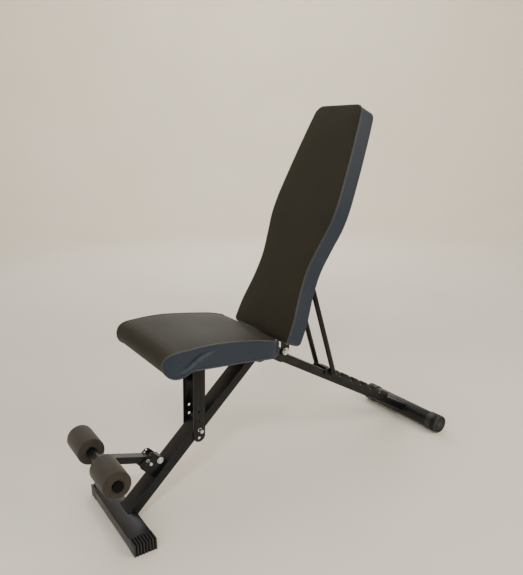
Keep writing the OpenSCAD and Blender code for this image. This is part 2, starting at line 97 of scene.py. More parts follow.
def bevelEdges(piece, width, segments, degrees):
    bevel = piece.modifiers.new("edge", "BEVEL")
    bevel.width = width
    bevel.segments = segments
    bevel.limit_method = "ANGLE"
    bevel.angle_limit = math.radians(degrees)
    applyModifiers(piece)


def turnOutward(piece, mergeWithin=0.0):
    openMesh(piece)
    bpy.ops.mesh.select_all(action="SELECT")
    if mergeWithin:
        bpy.ops.mesh.remove_doubles(threshold=mergeWithin)
    bpy.ops.mesh.normals_make_consistent(inside=False)
    closeMesh()


def selectFaces(piece, rule):
    bpy.ops.mesh.select_all(action="DESELECT")
    shell = bmesh.from_edit_mesh(piece.data)
    for face in shell.faces:
        face.select_set(rule(face.calc_center_median(), face.normal))
    bmesh.update_edit_mesh(piece.data)


def selectEdges(piece, rule):
    bpy.ops.mesh.select_mode(type="EDGE")
    bpy.ops.mesh.select_all(action="DESELECT")
    shell = bmesh.from_edit_mesh(piece.data)
    for edge in shell.edges:
        edge.select_set(rule(edge))
    bmesh.update_edit_mesh(piece.data)


# a cylinder across the bench, its ends at y0 and y1
def crossCylinder(sides, radius, y0, y1, at):
    deselectAll()
    bpy.ops.mesh.primitive_cylinder_add(vertices=sides, radius=radius, depth=abs(y1 - y0),
                                        location=(at.x, (y0 + y1) / 2, at.z),
                                        rotation=(math.pi / 2, 0, 0))
    piece = bpy.context.object
    applyPlace(piece)
    return piece


def blockOf(size, place=(0, 0, 0)):
    deselectAll()
    bpy.ops.mesh.primitive_cube_add(size=1, location=place)
    piece = bpy.context.object
    piece.scale = size
    applyPlace(piece)
    return piece


def smoothByAngle(piece, degrees):
    makeActive(piece)
    bpy.ops.object.shade_smooth_by_angle(angle=math.radians(degrees))


def newPiece(name, vertices, faces):
    mesh = bpy.data.meshes.new(name)
    mesh.from_pydata(vertices, [], faces)
    mesh.update()
    piece = bpy.data.objects.new(name, mesh)
    bpy.context.scene.collection.objects.link(piece)
    return piece


def finish(piece, name, body, materials, replaced=()):
    piece.name = name
    piece.data.name = name
    if not isinstance(materials, (list, tuple)):
        materials = [materials]
    held = [polygon.material_index for polygon in piece.data.polygons]
    piece.data.materials.clear()
    for material in materials:
        piece.data.materials.append(material)
    if len(materials) > 1:
        piece.data.polygons.foreach_set("material_index", held)
    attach(piece, body)
    if replaced:
        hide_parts(*replaced)
    return piece


# materials

def hexColour(code):
    channels = [int(code[i:i + 2], 16) / 255 for i in (1, 3, 5)]
    return [c / 12.92 if c <= 0.04045 else ((c + 0.055) / 1.055) ** 2.4 for c in channels] + [1.0]


def addNode(tree, kind, inputs=None, **settings):
    node = tree.nodes.new(kind)
    for key, value in settings.items():
        setattr(node, key, value)
    for key, value in (inputs or {}).items():
        if isinstance(value, bpy.types.NodeSocket):
            tree.links.new(value, node.inputs[key])
        else:
            node.inputs[key].default_value = value
    return node


def startMaterial(name):
    material = bpy.data.materials.new(name)
    material.use_nodes = True
    tree = material.node_tree
    tree.nodes.clear()
    return material, tree, addNode(tree, "ShaderNodeTexCoord").outputs["Object"]


socketNames = {"ior": "IOR", "specular": "Specular IOR Level", "sheen": "Sheen Weight",
               "metallic": "Metallic"}


def colourRange(tree, factor, low, high, start=0.3, end=0.7):
    ramp = addNode(tree, "ShaderNodeValToRGB", {"Fac": factor})
    ramp.color_ramp.elements[0].position = start
    ramp.color_ramp.elements[0].color = hexColour(low)
    ramp.color_ramp.elements[1].position = end
    ramp.color_ramp.elements[1].color = hexColour(high)
    return ramp.outputs["Color"]


def valueRange(tree, factor, low, high):
    inputs = {"Value": factor, "To Min": low, "To Max": high}
    return addNode(tree, "ShaderNodeMapRange", inputs).outputs[0]


def perMetre(sizeMm):
    return 1 / (sizeMm * mm)


def noiseOf(tree, place, sizeMm, detail, **more):
    inputs = {"Vector": place, "Scale": perMetre(sizeMm), "Detail": detail}
    inputs.update(more)
    return addNode(tree, "ShaderNodeTexNoise", inputs).outputs["Fac"]


def bumpOf(tree, height, strength, depthMm):
    return addNode(tree, "ShaderNodeBump", {"Height": height, "Strength": strength,
                                            "Distance": depthMm * mm}).outputs[0]


def mixColours(tree, factor, first, second):
    return addNode(tree, "ShaderNodeMix", {"Factor": factor, "A": first, "B": second},
                   data_type="RGBA").outputs["Result"]


def surfaceOf(material, colour, roughness, normal, **more):
    tree = material.node_tree
    shader = addNode(tree, "ShaderNodeBsdfPrincipled", {
        "Base Color": colour, "Roughness": roughness, "Normal": normal})
    for name, value in more.items():
        shader.inputs[socketNames[name]].default_value = value
    addNode(tree, "ShaderNodeOutputMaterial", {"Surface": shader.outputs[0]})
    return material


# satin black polyester powder coat, sprayed and baked: faint orange peel and a soft wide gloss
def powderCoatedSteel():
    material, tree, place = startMaterial("powderCoatedSteel")
    cloud = noiseOf(tree, place, 70, 4.0)
    rub = noiseOf(tree, place, 9, 6.0, Roughness=0.75)
    base = colourRange(tree, cloud, "#0a0c0f", "#111418")
    worn = colourRange(tree, rub, "#000000", "#ffffff", 0.66, 0.74)
    bump = bumpOf(tree, noiseOf(tree, place, 1.6, 2.0), 0.22, 0.25)
    return surfaceOf(material, mixColours(tree, worn, base, hexColour("#2a2e34")),
                     valueRange(tree, cloud, 0.26, 0.38), bump, ior=1.5, specular=0.27)


# a cloudy colour and gloss over a fine bump: cloud and grain are (size in mm, detail), bump is
# (strength, depth in mm)
def cloudedFinish(name, colours, gloss, cloud, grain, bump, **more):
    material, tree, place = startMaterial(name)
    clouds = noiseOf(tree, place, *cloud)
    grains = noiseOf(tree, place, *grain) if grain else clouds
    return surfaceOf(material, colourRange(tree, clouds, *colours), valueRange(tree, clouds, *gloss),
                     bumpOf(tree, grains, *bump), **more)


# PU leather, embossed with a fine pebble grain: near-black with a warm cast and a matte bloom
def puLeather():
    material, tree, place = startMaterial("puLeather")
    warp = addNode(tree, "ShaderNodeTexNoise", {"Vector": place, "Scale": perMetre(5), "Detail": 2.0})
    bent = addNode(tree, "ShaderNodeMix", {"Factor": 0.006, "A": place, "B": warp.outputs["Color"]},
                   data_type="VECTOR")
    pebble = addNode(tree, "ShaderNodeTexVoronoi", {"Vector": bent.outputs["Result"],
                                                    "Scale": perMetre(1.3)}, feature="SMOOTH_F1")
    cloud = noiseOf(tree, place, 120, 5.0)
    return surfaceOf(material, colourRange(tree, cloud, "#1c1a11", "#242115"),
                     valueRange(tree, cloud, 0.58, 0.68),
                     bumpOf(tree, pebble.outputs["Distance"], 0.25, 0.22), ior=1.45, specular=0.34)


# carbon-look vinyl, a 2 x 2 twill printed and embossed; real threads are about 1.5 mm and are
# drawn at 1.7 mm so that the twill still shows
def carbonTwillVinyl(threadMm=1.7):
    material, tree = startMaterial("carbonTwillVinyl")[:2]
    weave = addNode(tree, "ShaderNodeUVMap", uv_map="weave").outputs[0]
    axes = addNode(tree, "ShaderNodeSeparateXYZ", {"Vector": weave})

    def sums(operation, first, second=0.0):
        return addNode(tree, "ShaderNodeMath", {0: first, 1: second}, operation=operation).outputs[0]

    across, along = (sums("MULTIPLY", axes.outputs[axis], perMetre(threadMm)) for axis in ("X", "Y"))
    step = sums("ADD", sums("FLOOR", across), sums("FLOOR", along))
    over = sums("LESS_THAN", sums("FLOORED_MODULO", step, 4.0), 2.0)
    warpRound, weftRound = (sums("SINE", sums("MULTIPLY", sums("FRACT", run), math.pi))
                            for run in (across, along))
    height = addNode(tree, "ShaderNodeMix", {"Factor": over, "A": weftRound, "B": warpRound}).outputs[0]
    twill = mixColours(tree, over, hexColour("#060a12"), hexColour("#22374f"))
    shade = mixColours(tree, valueRange(tree, height, 0.35, 1.0), hexColour("#05080d"), twill)
    return surfaceOf(material, shade, valueRange(tree, over, 0.46, 0.34),
                     bumpOf(tree, height, 0.5, 0.25), ior=1.5, specular=0.4)


# closed-cell NBR foam, extruded and skived: dead matte with fine open pores
def nbrFoam():
    material, tree, place = startMaterial("nbrFoam")
    pores = addNode(tree, "ShaderNodeTexVoronoi", {"Vector": place, "Scale": perMetre(1.1)})
    cloud = noiseOf(tree, place, 16, 6.0)
    return surfaceOf(material, colourRange(tree, cloud, "#26221b", "#322d24"),
                     valueRange(tree, cloud, 0.82, 0.93),
                     bumpOf(tree, pores.outputs["Distance"], 0.55, 0.35), ior=1.45, sheen=0.12)


# birch plywood, rotary peeled and sanded: long soft figure, dry surface
def birchPlywood():
    material, tree, place = startMaterial("birchPlywood")
    stretched = addNode(tree, "ShaderNodeMapping", {"Vector": place, "Scale": (4.0, 60.0, 12.0)})
    figure = addNode(tree, "ShaderNodeTexNoise", {"Vector": stretched.outputs[0], "Scale": 1.6,
                                                  "Detail": 8.0, "Distortion": 0.6}).outputs["Fac"]
    return surfaceOf(material, colourRange(tree, figure, "#5e503e", "#7a6a55", 0.35, 0.65),
                     valueRange(tree, figure, 0.6, 0.75), bumpOf(tree, figure, 0.2, 0.3), ior=1.5)


# bonded polyester sewing thread, twisted: slightly lighter than the vinyl it sits in
def sewingThread():
    material, tree, place = startMaterial("sewingThread")
    twist = addNode(tree, "ShaderNodeTexWave", {"Vector": place, "Scale": perMetre(3),
                                                "Distortion": 1.0}).outputs["Fac"]
    return surfaceOf(material, colourRange(tree, twist, "#3a3d42", "#50545a"),
                     valueRange(tree, twist, 0.5, 0.65),
                     bumpOf(tree, twist, 0.3, 0.1), ior=1.5)


# matt emulsion on plaster: an even pale ground with the faintest cloudiness
def paintedPlaster():
    material, tree, place = startMaterial("paintedPlaster")
    cloud = addNode(tree, "ShaderNodeTexNoise", {"Vector": place, "Scale": 1.5, "Detail": 3.0})
    wall = addNode(tree, "ShaderNodeBsdfPrincipled", {
        "Base Color": colourRange(tree, cloud.outputs["Fac"], "#e4dfd4", "#e8e3d9"), "Roughness": 0.85})
    addNode(tree, "ShaderNodeOutputMaterial", {"Surface": wall.outputs[0]})
    return material


powderCoat = powderCoatedSteel()
leather = puLeather()
carbon = carbonTwillVinyl()
foam = nbrFoam()
plywood = birchPlywood()
thread = sewingThread()
# bright zinc-plated steel, barrel plated: clear highlights with a cloudy, slightly blue film
zinc = cloudedFinish("zincPlatedSteel", ("#aeb4bb", "#dcdedd"), (0.18, 0.36), (7, 5.0), (0.8, 2.0),
                     (0.12, 0.1), metallic=1.0)
# polypropylene, injection moulded with a light spark-eroded grain: dull grey-black
plastic = cloudedFinish("mouldedPolypropylene", ("#151517", "#1f1f21"), (0.42, 0.56), (25, 4.0),
                        (0.7, 3.0), (0.3, 0.12), ior=1.49)
# the same plastic made rougher and darker: its dark colour is painted shade, so the floors of grooves and rings
# read deep
grooveShadePlastic = cloudedFinish("polypropyleneDarkForGrooveShade", ("#050506", "#0b0b0c"), (0.75, 0.9),
                             (1.1, 5.0), None, (0.4, 0.15), ior=1.49, specular=0.15)
# vinyl welt cord, calendered smooth and glossy: its colour is drawn lighter than the leather as painted highlight,
# the thin brighter line along each seam
piping = cloudedFinish("vinylPiping", ("#24272b", "#31353a"), (0.30, 0.42), (6, 3.0), None,
                       (0.15, 0.3), ior=1.52)
slotMaterials = {"powder_coat": powderCoat, "zinc": zinc, "cap_plastic": plastic,
                 "upholstery": leather, "plywood": plywood, "foam": foam}
print("materials made")

slotOf = {part["node"]: part["material_slot"] for part in frame["record"]["subparts"]}


# a piece that stands for one CAD node rides on its body, in its slot
def standIn(piece, name, node, materials=None):
    materials = materials or slotMaterials[slotOf[node]]
    return finish(piece, name, bodyOf[node], materials, [node])


# every CAD node that stays takes the material of its slot
for node, part in nodes.items():
    part.data.materials.clear()
    part.data.materials.append(slotMaterials[slotOf[node]])


# pieces that follow a CAD node's outline: merged, flattened and given real rounded edges

copyShape = {"merge": 0.01 * mm, "flatWithin": 1.0, "edgeSegments": 2, "edgeFrom": 30, "smoothTo": 32}


def roundedCopy(node, name, edge, shape=copyShape):
    mesh = nodes[node].data.copy()
    piece = bpy.data.objects.new(name, mesh)
    bpy.context.scene.collection.objects.link(piece)
    makeActive(piece)
    if mesh.has_custom_normals:
        bpy.ops.mesh.customdata_custom_splitnormals_clear()
    openMesh(piece)
    bpy.ops.mesh.select_all(action="SELECT")
    bpy.ops.mesh.remove_doubles(threshold=shape["merge"])
    bpy.ops.mesh.dissolve_limited(angle_limit=math.radians(shape["flatWithin"]))
    closeMesh()
    bevelEdges(piece, edge, shape["edgeSegments"], shape["edgeFrom"])
    smoothByAngle(piece, shape["smoothTo"])
    return standIn(piece, name, node)


# edge radius in mm that pressing, shearing or moulding leaves on each part
pressedParts = {
    "rack_near": 0.7, "rack_far": 0.7, "hinge_plate_near": 0.8, "hinge_plate_far": 0.8,
    "arm_bracket": 0.7, "seat_bracket": 0.6, "post_lug": 0.6, "seat_post": 0.7,
    "back_ear_near": 0.7, "back_ear_far": 0.7, "prop_lugs": 0.6, "prop_arm_near": 0.8,
    "prop_arm_far": 0.8, "prop_sleeve": 0.5, "prop_bar": 0.8,
    "front_cap_near": 0.3, "front_cap_far": 0.3, "seat_pin": 0.9, "arm_pin": 0.8,
    "seat_screws": 1.2, "back_screws": 1.2, "plate_rivets": 0.7, "rear_cap_screws": 0.3,
    "seat_board": 0.8, "backrest_board": 0.8, "tube_plugs": 1.2,
}
pressed = {node: roundedCopy(node, node.replace("_", "-") + "-finished", edge * mm)
           for node, edge in pressedParts.items()}
print("pressed and moulded parts:", len(pressed))

pressed["tube_plugs"].data.materials[0] = grooveShadePlastic   # the plugs take the darker, rougher plastic all over, drawn darker than the foam

# the floors of the grooves between the foot cap's ribs take the darker plastic as painted shade
frontCapShape = {"topDrop": 1.2 * mm, "faceDrop": (1.2 * mm, 4 * mm), "edgeWall": 1 * mm}
faceFrom, faceTo = frontCapShape["faceDrop"]
for node in ("front_cap_near", "front_cap_far"):
    low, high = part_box(node)
    cap = pressed[node].data
    cap.materials.append(grooveShadePlastic)
    outer = low.y if high.y < 0 else high.y
    for polygon in cap.polygons:
        at, out = polygon.center, polygon.normal
        onTop = out.z > 0.9 and at.z < high.z - frontCapShape["topDrop"]
        onEnd = abs(out.y) > 0.9 and faceFrom < abs(at.y - outer) < faceTo
        wall = frontCapShape["edgeWall"]
        between = abs(out.x) > 0.9 and low.x + wall < at.x < high.x - wall
        if onTop or onEnd or between:
            polygon.material_index = 1

# rear end caps: a moulded cup with a ribbed grip round its rim and rings on its face

rearCapShape = {
    "ribs": 28, "facets": 6, "grooveFacets": 3, "grooveDepth": 1.8 * mm, "grooveDraft": 0.25 * mm,
    "gripStart": 3.6 * mm, "gripEnd": 21 * mm,
    "tubeRadius": 27.55 * mm, "faceThick": 6 * mm, "rim": 2.6 * mm, "rimSegments": 4,
    # what takes the darker plastic as painted shade: grooves this far in from the rim, and ring floors this far in
    # from the face
    "shadedGrooveSpan": (0.9 * mm, 2.4 * mm), "shadedRingSpan": (1.2 * mm, 2 * mm), "ringEdge": 3 * mm,
    "grooveRim": 0.5 * mm,
    # rings on the face, as insets from the rim inwards: (width, raise)
    "rings": ((3.2, 0), (0.6, -1.6), (2.6, 0), (0.6, 1.6), (5.2, 0), (0.6, -1.4), (2.0, 0), (0.6, 1.4)),
}


def ribbedCap(node, shape):
    low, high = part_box(node)
    near = low.y < 0
    end, mouth = (low.y, high.y) if near else (high.y, low.y)
    inward = 1 if near else -1
    radius = (high.z - low.z) / 2
    centre = (low + high) / 2
    facets = shape["ribs"] * shape["facets"]
    piece = crossCylinder(facets, radius, low.y, high.y, centre)
    openMesh(piece)
    bpy.ops.mesh.select_mode(type="FACE")
    selectFaces(piece, lambda at, out: abs(at.y - mouth) < touching)
    bpy.ops.mesh.inset(thickness=radius - shape["tubeRadius"])
    bpy.ops.mesh.extrude_region_move(
        TRANSFORM_OT_translate={"value": (0, end + inward * shape["faceThick"] - mouth, 0)})
    selectFaces(piece, lambda at, out: abs(at.y - end) < touching)
    bpy.ops.mesh.bevel(offset=shape["rim"], segments=shape["rimSegments"], affect="EDGES")
    selectFaces(piece, lambda at, out: abs(at.y - end) < touching and abs(out.y) > 0.99)
    for width, lift in shape["rings"]:
        bpy.ops.mesh.inset(thickness=width * mm, depth=lift * mm)
    for cut in (shape["gripStart"], shape["gripEnd"]):
        bpy.ops.mesh.select_all(action="SELECT")
        bpy.ops.mesh.bisect(plane_co=(0, end + inward * cut, 0), plane_no=(0, 1, 0))

    def inGrip(at):
        return shape["gripStart"] < abs(at.y - end) < shape["gripEnd"]

    def reachOf(at):
        return math.hypot(at.z - centre.z, at.x - centre.x)

    def onGroove(at, out):
        turn = math.atan2(at.z - centre.z, at.x - centre.x) / (2 * math.pi) * facets
        return (reachOf(at) > radius - shape["grooveRim"] and inGrip(at)
                and math.floor(turn) % shape["facets"] < shape["grooveFacets"])

    selectFaces(piece, onGroove)
    bpy.ops.mesh.inset(thickness=shape["grooveDraft"], depth=-shape["grooveDepth"])
    closeMesh()
    smoothByAngle(piece, 30)
    grooveFrom, grooveTo = shape["shadedGrooveSpan"]
    ringFrom, ringTo = shape["shadedRingSpan"]
    # groove and ring floors take the darker plastic: painted shade in the recesses
    for polygon in piece.data.polygons:
        at = polygon.center
        inGroove = radius - grooveTo < reachOf(at) < radius - grooveFrom and inGrip(at)
        inRing = reachOf(at) < radius - shape["ringEdge"] and ringFrom < abs(at.y - end) < ringTo
        polygon.material_index = 1 if inGroove or inRing else 0
    return standIn(piece, "rearCap" + ("Near" if near else "Far"), node, [plastic, grooveShadePlastic])


for node in ("rear_cap_near", "rear_cap_far"):
    ribbedCap(node, rearCapShape)
print("end caps made")


# frame tubes: drawn rectangular tube with round corners, cut where it meets its neighbour

def roundLongEdges(piece, axis, corner):
    def runsAlong(edge):
        way = edge.verts[1].co - edge.verts[0].co
        return abs(way[axis]) > sum(abs(part) for part in way) - abs(way[axis])

    openMesh(piece)
    selectEdges(piece, runsAlong)
    bpy.ops.mesh.bevel(offset=corner, segments=5, profile=0.5)
    closeMesh()


def boxTube(start, end, width, depth, corner, cuts=()):
    run = end - start
    piece = blockOf((run.length, width, depth))
    roundLongEdges(piece, 0, corner)
    piece.rotation_euler = (0, math.atan2(-run.z, run.x), 0)
    piece.location = (start + end) / 2
    applyPlace(piece)
    openMesh(piece)
    for point, outward in cuts:
        bpy.ops.mesh.select_all(action="SELECT")
        bpy.ops.mesh.bisect(plane_co=point, plane_no=outward, clear_outer=True, use_fill=True)
    closeMesh()
    smoothByAngle(piece, 30)
    return piece


legShape = {"width": 58 * mm, "frontDepth": 28 * mm, "rearDepth": 27 * mm, "corner": 3.2 * mm,
            "frontSlope": 42.2, "rearSlope": 30.7, "frontDrop": 3.65 * mm, "rearDrop": 7.3 * mm,
            "frontHead": 14 * mm, "frontReach": 620 * mm, "rearHead": 32 * mm,
            "floorGap": 12 * mm, "play": 0.4 * mm}
foldAt = Vector(joints["frame_fold"]["pos_m"])
frontWay = leanOf(legShape["frontSlope"], -1, -1)
frontUp = Vector((frontWay.z, 0, -frontWay.x))
rearWay = leanOf(legShape["rearSlope"], 1, -1)
rearUp = Vector((-rearWay.z, 0, rearWay.x))

frontAxis = foldAt + frontUp * legShape["frontDrop"]
frontLeg = boxTube(frontAxis - frontWay * legShape["frontHead"],
                   frontAxis + frontWay * legShape["frontReach"],
                   legShape["width"] - 2 * legShape["play"], legShape["frontDepth"], legShape["corner"],
                   [((0, 0, legShape["floorGap"]), (0, 0, -1))])
standIn(frontLeg, "frontLeg", "front_leg")

rearTubeLow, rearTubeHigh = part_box("rear_tube")
rearTubeAt = (rearTubeLow + rearTubeHigh) / 2
rearAxis = foldAt + rearUp * legShape["rearDrop"]
rearLength = (rearTubeAt - rearAxis).dot(rearWay)
rearLeg = boxTube(rearAxis + rearWay * legShape["rearHead"], rearAxis + rearWay * rearLength,
                  legShape["width"], legShape["rearDepth"], legShape["corner"])
standIn(rearLeg, "rearLeg", "rear_leg")


def straightTube(node, name, corner):
    low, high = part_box(node)
    piece = blockOf(high - low, (low + high) / 2)
    roundLongEdges(piece, 1, corner)
    smoothByAngle(piece, 30)
    return standIn(piece, name, node)


straightTube("front_tube", "frontStabilizer", 3 * mm)


# round tubes across the bench

roundTubeShape = {"rim": 0.8 * mm, "rimSegments": 3, "rimFrom": 60}


def roundTube(node, name, sides=96, shape=roundTubeShape):
    low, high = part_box(node)
    piece = crossCylinder(sides, (high.z - low.z) / 2, low.y, high.y, (low + high) / 2)
    bevelEdges(piece, shape["rim"], shape["rimSegments"], shape["rimFrom"])
    smoothByAngle(piece, 30)
    return standIn(piece, name, node)


roundTube("rear_tube", "rearStabilizer")
roundTube("roller_tube", "rollerTube", 64)
print("frame tubes made")

# weld beads: a rippled run of metal in each corner where two tubes meet

weldShape = {"radius": 2.6 * mm, "ripple": 2.3 * mm, "squash": 0.75, "tilt": 24, "voxel": 0.5 * mm,
             "toeIn": 1 * mm, "stopShort": 2 * mm, "frontLift": 0.6 * mm, "rearLift": 0.5 * mm,
             "rearTop": (-22 * mm, 12 * mm), "rearBottom": (-28 * mm, -11 * mm)}


def weldBead(name, body, start, end):
    start = Vector(start)
    run = Vector(end) - start
    count = round(run.length / weldShape["ripple"])
    deselectAll()
    bpy.ops.mesh.primitive_uv_sphere_add(segments=16, ring_count=10, radius=weldShape["radius"])
    piece = bpy.context.object
    piece.scale = (weldShape["squash"], 1, 1)
    applyPlace(piece)
    piece.rotation_euler = (0, math.radians(weldShape["tilt"]), 0)
    applyPlace(piece)
    ripples = piece.modifiers.new("ripples", "ARRAY")
    ripples.count = count + 1
    ripples.use_relative_offset = False
    ripples.use_constant_offset = True
    ripples.constant_offset_displace = (run.length / count, 0, 0)
    fused = piece.modifiers.new("fused", "REMESH")
    fused.mode = "VOXEL"
    fused.voxel_size = weldShape["voxel"]
    applyModifiers(piece)
    piece.rotation_euler = run.to_track_quat("X", "Z").to_euler()
    piece.location = start
    applyPlace(piece)
    bpy.ops.object.shade_smooth()
    return finish(piece, name, body, powderCoat)


def onFrontLeg(z, above):
    # the point of the leg's top (above = 1) or under (-1) face at height z
    face = frontAxis + frontUp * above * legShape["frontDepth"] / 2
    return face + frontWay * (z - face.z) / frontWay.z


def besideRearLeg(side, spot):
    along, up = spot
    across = side * (legHalf + weldShape["rearLift"])
    return rearAxis + rearWay * (rearLength + along) + Vector((0, across, 0)) + rearUp * up


legHalf = legShape["width"] / 2
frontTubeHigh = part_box("front_tube")[1]
topCorner = onFrontLeg(frontTubeHigh.z, 1)
weldHeight = frontTubeHigh.z + weldShape["frontLift"]
toeX, toeHalf = topCorner.x - weldShape["toeIn"], legHalf - weldShape["stopShort"]
weldBead("weldFrontToe", "front_frame", (toeX, -toeHalf, weldHeight), (toeX, toeHalf, weldHeight))
for label, side in (("Near", -1), ("Far", 1)):
    beside = side * (legHalf + weldShape["frontLift"])
    weldBead("weldFront" + label, "front_frame", (topCorner.x, beside, weldHeight),
             (frontTubeHigh.x - weldShape["toeIn"], beside, weldHeight))
    weldBead("weldRear" + label, "rear_frame", besideRearLeg(side, weldShape["rearTop"]),
             besideRearLeg(side, weldShape["rearBottom"]))
print("weld beads made")

# cushions

backShape = {
    "angle": 65.0, "footFromBolt": (-66 * mm, 74.3 * mm), "length": 693 * mm, "pad": 43 * mm,
    "lip": -12 * mm, "board": 8 * mm, "wrap": 1.4 * mm, "hem": 22 * mm, "recess": 3.4 * mm,
    "roll": (9 * mm, 17 * mm), "backRoll": (11 * mm, 12 * mm), "front": -1.5 * mm, "bandDrop": 1 * mm,
    "spine": ((120 * mm, 0), (600 * mm, 0)), "crown": 5 * mm, "cornerSteps": 12, "sideSteps": 60,
    "stations": ((-5, 139), (60, 135.5), (140, 120), (210, 116), (280, 128.5), (340, 142), (395, 144),
                 (460, 137.5), (560, 124), (650, 109), (693, 100)),
    "bottomCorner": 16 * mm, "topCorner": 30 * mm, "spacing": 6.5 * mm, "bandRows": 9,
    "panelRings": 16, "pressure": 3.2, "cap": 7 * mm, "shrink": 2.5 * mm,
}


def throughStations(stations, s):
    places, values = zip(*stations)
    slopes = []
    for i in range(len(places)):
        before = max(i - 1, 0)
        after = min(i + 1, len(places) - 1)
        slopes.append((values[after] - values[before]) / (places[after] - places[before]))
    s = min(max(s, places[0]), places[-1])
    for i in range(len(places) - 1):
        if s <= places[i + 1]:
            span = places[i + 1] - places[i]
            t = (s - places[i]) / span
            return ((2 * t**3 - 3 * t**2 + 1) * values[i] + (t**3 - 2 * t**2 + t) * span * slopes[i]
                    + (3 * t**2 - 2 * t**3) * values[i + 1] + (t**3 - t**2) * span * slopes[i + 1])
    return values[-1]


def evenLoop(points, spacing):
    closed = points + [points[0]]
    lengths = [0.0]
    for a, b in zip(closed, closed[1:]):
        lengths.append(lengths[-1] + (Vector(b) - Vector(a)).length)
    count = int(lengths[-1] / spacing / 2) * 2
    result = []
    index = 0
    for k in range(count):
        want = lengths[-1] * k / count
        while lengths[index + 1] < want:
            index += 1
        share = (want - lengths[index]) / (lengths[index + 1] - lengths[index])
        result.append(Vector(closed[index]).lerp(Vector(closed[index + 1]), share))
    return result


def backOutline(shape, inset):
    half = []
    bottom, top = shape["bottomCorner"], shape["topCorner"]
    end = shape["length"] - inset
    start = shape["lip"] + inset

    def halfAt(s):
        return throughStations(shape["stations"], s / mm) * mm - inset

    low = halfAt(start + bottom)
    high = halfAt(shape["length"] - top)
    turns = [math.pi / 2 * step / shape["cornerSteps"] for step in range(shape["cornerSteps"] + 1)]
    for turn in turns:
        half.append((start + bottom - bottom * math.cos(turn), low - bottom + bottom * math.sin(turn)))
    for step in range(1, shape["sideSteps"]):
        s = start + bottom + (end - top - bottom - start) * step / shape["sideSteps"]
        half.append((s, halfAt(s)))
    for turn in turns:
        half.append((end - top + top * math.sin(turn), high - top + top * math.cos(turn)))
    other = [(s, -y) for s, y in reversed(half)]
    # start in the middle of the bottom edge so that both sides are sampled alike
    return [(start, 0.0)] + half + other


# a stuffed shell: a closed loop, a band of rows between its two edges, and a panel on each edge
# that closes in rings towards a spine. place(u, v, depth) puts loop point (u, v) in the room
def stuffedShell(name, loop, spine, depths, rings, place, panelDepths):
    count = len(loop)
    vertices = []
    rows = []
    low, high = spine

    def centreOf(point):
        share = min(max((point[0] - low[0]) / (high[0] - low[0]), 0), 1)
        return Vector((min(max(point[0], low[0]), high[0]), low[1] + (high[1] - low[1]) * share))

    def addRow(scale, depth):
        row = []
        for point in loop:
            centre = centreOf(point)
            spot = centre + (point - centre) * scale
            row.append(len(vertices))
            vertices.append(place(spot[0], spot[1], depth))
        rows.append(row)
        return row

    scales = [math.sin(math.pi / 2 * k / rings) for k in range(rings + 1)]
    backRows = [addRow(scale, panelDepths[0]) for scale in scales[:-1]]
    bandRows = [addRow(1.0, depth) for depth in depths]
    frontRows = [addRow(scale, panelDepths[1]) for scale in reversed(scales[:-1])]
    ordered = backRows + bandRows + frontRows
    faces = []
    regions = []
    for k in range(len(ordered) - 1):
        band = len(backRows) <= k < len(backRows) + len(bandRows) - 1
        for i in range(count):
            j = (i + 1) % count
            faces.append((ordered[k][i], ordered[k][j], ordered[k + 1][j], ordered[k + 1][i]))
            regions.append(1 if band else (0 if k < len(backRows) else 2))   # back, band, front
    piece = newPiece(name, vertices, faces)
    mesh = piece.data
    weave = mesh.uv_layers.new(name="weave")
    arc = [0.0]
    for i in range(count):
        arc.append(arc[-1] + (loop[(i + 1) % count] - loop[i]).length)
    run = [0.0]
    for a, b in zip(depths, depths[1:]):
        run.append(run[-1] + abs(b - a))
    first = bandRows[0][0]
    for polygon, region in zip(mesh.polygons, regions):
        columns = [mesh.loops[corner].vertex_index % count for corner in polygon.loop_indices]
        wraps = max(columns) - min(columns) > 1
        for corner, column in zip(polygon.loop_indices, columns):
            index = mesh.loops[corner].vertex_index
            if region == 1:
                row = (index - first) // count
                weave.data[corner].uv = (arc[count] if wraps and column == 0 else arc[column], run[row])
            else:
                ring = index // count
                if ring < len(backRows):
                    scale = scales[ring]
                else:
                    scale = scales[min(len(ordered) - 1 - ring, rings)]
                centre = centreOf(loop[column])
                spot = centre + (loop[column] - centre) * scale
                weave.data[corner].uv = (spot[0], spot[1])
    regionLayer = mesh.attributes.new("region", "INT", "FACE")
    for polygon, region in zip(mesh.polygons, regions):
        regionLayer.data[polygon.index].value = region
    return piece, {"edges": (bandRows[0], bandRows[-1]), "band": bandRows,
                   "back": backRows, "front": frontRows}


clothShape = {"quality": 6, "mass": 0.3, "tension_stiffness": 25, "compression_stiffness": 25,
              "shear_stiffness": 12, "bending_stiffness": 2.5}


# air pressure under a cloth skin; hold pairs a pin weight with the vertices it keeps in place
def inflate(piece, hold, pressure, cap, frames=20):
    scene = bpy.context.scene
    rest = [vertex.co.copy() for vertex in piece.data.vertices]
    group = piece.vertex_groups.new(name="hold")
    for weight, indices in hold:
        group.add(indices, weight, "REPLACE")
    cloth = piece.modifiers.new("stuffing", "CLOTH")
    for name, value in clothShape.items():
        setattr(cloth.settings, name, value)
    cloth.settings.use_pressure = True
    cloth.settings.uniform_pressure_force = pressure
    cloth.settings.vertex_group_mass = "hold"
    cloth.settings.effector_weights.gravity = 0
    cloth.point_cache.frame_start = 1
    cloth.point_cache.frame_end = frames
    for step in range(1, frames + 1):
        scene.frame_set(step)
    swollen = piece.evaluated_get(bpy.context.evaluated_depsgraph_get())
    moved = [vertex.co.copy() for vertex in swollen.data.vertices]
    piece.modifiers.remove(cloth)
    scene.frame_set(1)
    for vertex, was, now in zip(piece.data.vertices, rest, moved):
        shift = now - was
        if shift.length > cap:
            shift *= cap / shift.length
        vertex.co = was + shift
    piece.vertex_groups.clear()
    piece.data.update()


seamMerge = 0.3 * mm


